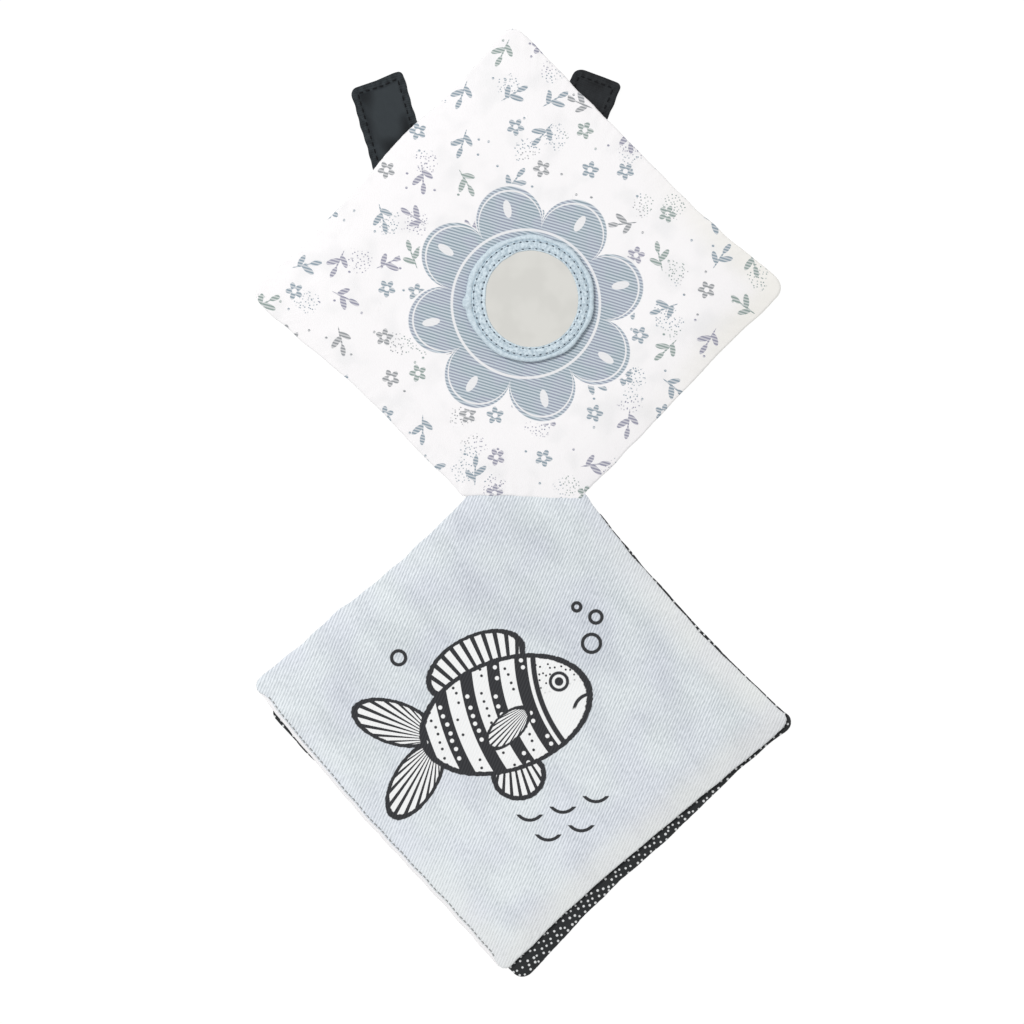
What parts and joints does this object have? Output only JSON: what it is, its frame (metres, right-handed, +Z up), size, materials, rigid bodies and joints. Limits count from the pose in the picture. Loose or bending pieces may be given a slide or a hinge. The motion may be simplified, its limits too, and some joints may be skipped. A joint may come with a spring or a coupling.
{
  "type": "crinkle book",
  "caption": "Open cloth crinkle book for a baby: padded square leaves joined at one corner, a round soft mirror, and folding straps behind.",
  "frame": {"origin": "bottom centre of the open book, on the surface that it lies on", "axes": "+X along the fold, +Y from the fold up the mirror leaf towards the straps, +Z up at the reader"},
  "size_m": [0.2012, 0.3578, 0.0101],
  "materials": {
    "white_cloth": "matte printed cotton",
    "blue_cloth": "matte twill",
    "dotted_cloth": "matte cotton with small pale dots",
    "crinkle_film": "thin crisp film",
    "batting": "soft fibre filling",
    "mirror_film": "flexible polished film",
    "backing_foam": "soft foam sheet",
    "ring_felt": "soft satin imitation leather",
    "grey_thread": "twisted thread",
    "webbing": "woven tape",
    "hook_tape": "hook and loop pile",
    "black_thread": "twisted thread"
  },
  "bodies": {
    "mirror_leaf": {"mirror_leaf_front_cloth": "white_cloth", "mirror_leaf_crinkle_film": "crinkle_film", "mirror_leaf_batting": "batting", "mirror_leaf_back_cloth": "white_cloth", "mirror_backing": "backing_foam", "mirror_film": "mirror_film", "mirror_ring": "ring_felt", "mirror_ring_outer_stitching": "grey_thread", "mirror_ring_inner_stitching": "grey_thread", "binding_tape_upper": "white_cloth", "strap_left_base_webbing": "webbing", "strap_left_loop_patch": "hook_tape", "strap_left_base_stitching": "black_thread", "strap_right_base_webbing": "webbing", "strap_right_loop_patch": "hook_tape", "strap_right_base_stitching": "black_thread"},
    "leaf_2": {"leaf_2_front_cloth": "blue_cloth", "leaf_2_crinkle_film": "crinkle_film", "leaf_2_batting": "batting", "leaf_2_back_cloth": "white_cloth", "leaf_2_closing_stitching": "grey_thread", "binding_tape_lower": "white_cloth"},
    "leaf_3": {"leaf_3_front_cloth": "dotted_cloth", "leaf_3_crinkle_film": "crinkle_film", "leaf_3_batting": "batting", "leaf_3_back_cloth": "blue_cloth"},
    "strap_left_tip": {"strap_left_tip_webbing": "webbing", "strap_left_hook_patch": "hook_tape", "strap_left_tip_stitching": "black_thread"},
    "strap_right_tip": {"strap_right_tip_webbing": "webbing", "strap_right_hook_patch": "hook_tape", "strap_right_tip_stitching": "black_thread"}
  },
  "joints": [
    {"name": "leaf_2_fold", "type": "hinge", "parent": "mirror_leaf", "child": "leaf_2", "pos_m": [0.00097, 0.00269, 0.00691], "axis": [-1, 0, 0], "range_deg": [0, 172]},
    {"name": "leaf_3_fold", "type": "hinge", "parent": "leaf_2", "child": "leaf_3", "pos_m": [0.00097, -0.00291, 0], "axis": [1, 0, 0], "range_deg": [0, 170]},
    {"name": "strap_left_fold", "type": "hinge", "parent": "mirror_leaf", "child": "strap_left_tip", "pos_m": [-0.043, 0.11509, 0], "axis": [-0.9588, -0.284, 0], "range_deg": [0, 170]},
    {"name": "strap_right_fold", "type": "hinge", "parent": "mirror_leaf", "child": "strap_right_tip", "pos_m": [0.00993, 0.11809, 0], "axis": [-0.9239, 0.3827, 0], "range_deg": [0, 170]}
  ]
}
